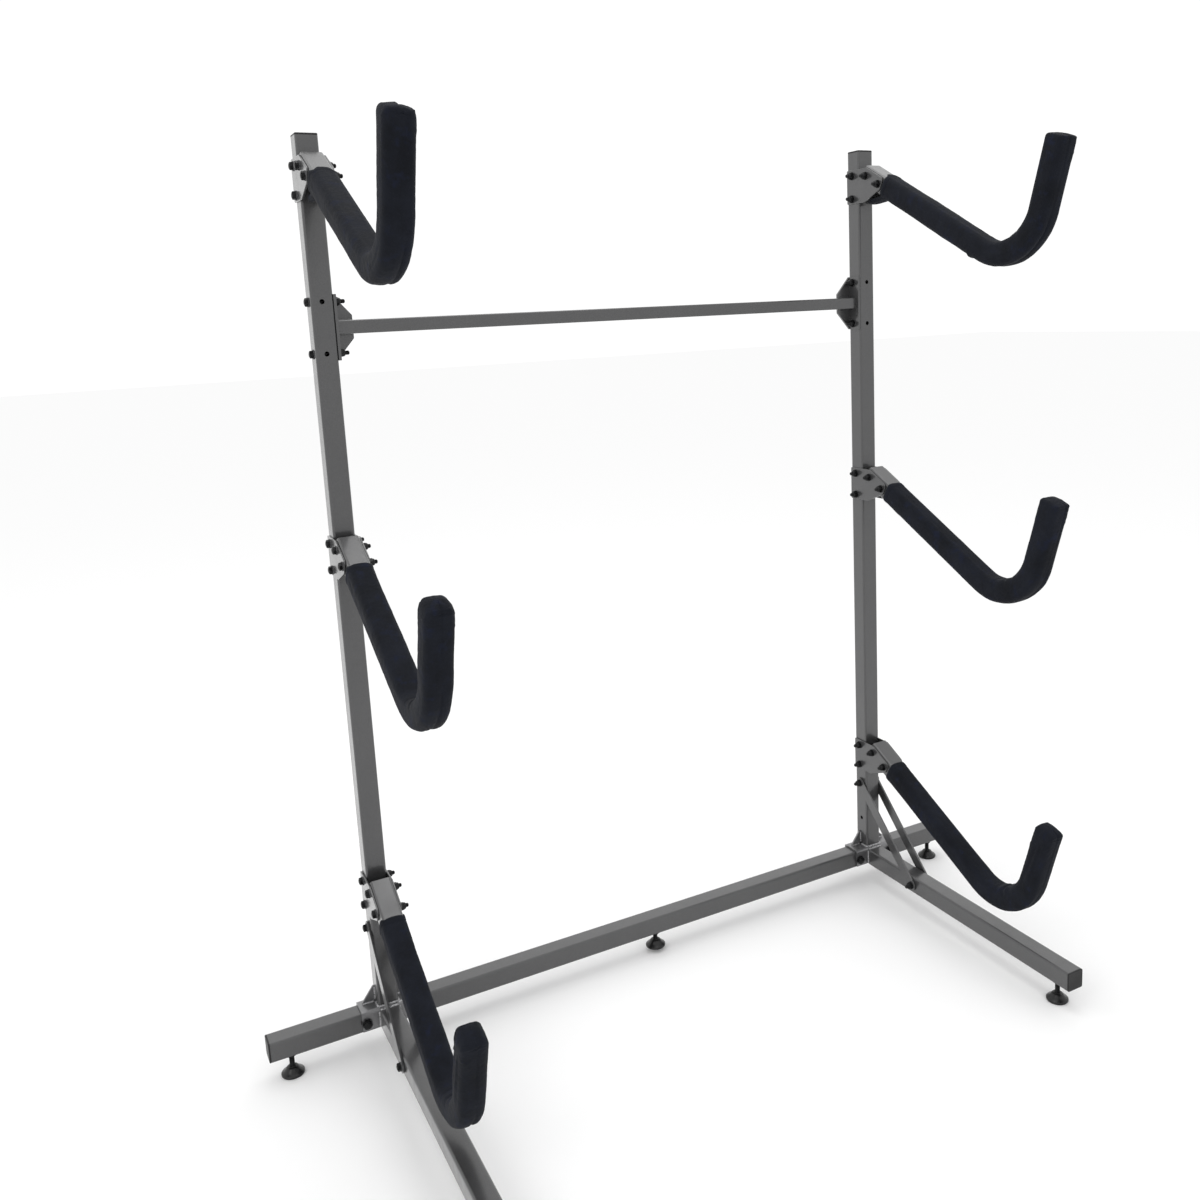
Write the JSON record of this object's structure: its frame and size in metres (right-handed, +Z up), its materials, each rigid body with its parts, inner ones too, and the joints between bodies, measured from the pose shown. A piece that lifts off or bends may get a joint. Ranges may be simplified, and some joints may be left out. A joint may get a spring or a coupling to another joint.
{
  "type": "boat rack",
  "caption": "Free-standing rack of square tube: posts with padded J-shaped arms that hold boats by their hulls, on a bolted base with levelling feet.",
  "frame": {"origin": "on the floor, in the middle of the rack's box", "axes": "+X along the crossbars to the right as seen from the front, +Y to the back, +Z up; the arms reach forward, to -Y"},
  "size_m": [1.6846, 0.693, 1.7583],
  "materials": {
    "frame_paint": "grey metallic powder coat, half gloss",
    "dark_bolts": "dark zinc bolts and nuts",
    "black_plastic": "black moulded plastic",
    "sleeve_fabric": "blue-black coated fabric over foam"
  },
  "bodies": {
    "frame": {"left_bar_cap": "black_plastic", "left_base_bolt_inner": "dark_bolts", "left_base_bolt_outer": "dark_bolts", "left_beam_cap": "black_plastic", "left_bottom_arm": "frame_paint", "left_bottom_inner_bracket": "frame_paint", "left_bottom_outer_bracket": "frame_paint", "left_bottom_pad": "sleeve_fabric", "left_crossbar_bolt_lower": "dark_bolts", "left_crossbar_bolt_upper": "dark_bolts", "left_foot_beam": "frame_paint", "left_inner_strut": "frame_paint", "left_middle_arm": "frame_paint", "left_middle_inner_bracket": "frame_paint", "left_middle_outer_bracket": "frame_paint", "left_middle_pad": "sleeve_fabric", "left_outer_strut": "frame_paint", "left_post_cap": "black_plastic", "left_saddle": "frame_paint", "left_strut_bolt_bottom": "dark_bolts", "left_strut_bolt_top": "dark_bolts", "left_top_arm": "frame_paint", "left_top_inner_bracket": "frame_paint", "left_top_outer_bracket": "frame_paint", "left_top_pad": "sleeve_fabric", "left_upright": "frame_paint", "lower_crossbar": "frame_paint", "right_bar_cap": "black_plastic", "right_base_bolt_inner": "dark_bolts", "right_base_bolt_outer": "dark_bolts", "right_beam_cap": "black_plastic", "right_bottom_arm": "frame_paint", "right_bottom_inner_bracket": "frame_paint", "right_bottom_outer_bracket": "frame_paint", "right_bottom_pad": "sleeve_fabric", "right_crossbar_bolt_lower": "dark_bolts", "right_crossbar_bolt_upper": "dark_bolts", "right_foot_beam": "frame_paint", "right_inner_strut": "frame_paint", "right_middle_arm": "frame_paint", "right_middle_inner_bracket": "frame_paint", "right_middle_outer_bracket": "frame_paint", "right_middle_pad": "sleeve_fabric", "right_outer_strut": "frame_paint", "right_post_cap": "black_plastic", "right_saddle": "frame_paint", "right_strut_bolt_bottom": "dark_bolts", "right_strut_bolt_top": "dark_bolts", "right_top_arm": "frame_paint", "right_top_inner_bracket": "frame_paint", "right_top_outer_bracket": "frame_paint", "right_top_pad": "sleeve_fabric", "right_upright": "frame_paint", "upper_crossbar": "frame_paint"},
    "left_stub_foot": {"left_stub_foot": "black_plastic"},
    "right_stub_foot": {"right_stub_foot": "black_plastic"},
    "middle_foot": {"middle_foot": "black_plastic"},
    "left_beam_foot": {"left_beam_foot": "black_plastic"},
    "right_beam_foot": {"right_beam_foot": "black_plastic"}
  },
  "joints": [
    {"name": "left_stub_foot_screw", "type": "slide", "parent": "frame", "child": "left_stub_foot", "axis": [0, 0, -1], "range_m": [-0.02, 0.012]},
    {"name": "right_stub_foot_screw", "type": "slide", "parent": "frame", "child": "right_stub_foot", "axis": [0, 0, -1], "range_m": [-0.02, 0.012]},
    {"name": "middle_foot_screw", "type": "slide", "parent": "frame", "child": "middle_foot", "axis": [0, 0, -1], "range_m": [-0.011, 0.021]},
    {"name": "left_beam_foot_screw", "type": "slide", "parent": "frame", "child": "left_beam_foot", "axis": [0, 0, -1], "range_m": [-0.02, 0.012]},
    {"name": "right_beam_foot_screw", "type": "slide", "parent": "frame", "child": "right_beam_foot", "axis": [0, 0, -1], "range_m": [-0.02, 0.012]}
  ]
}
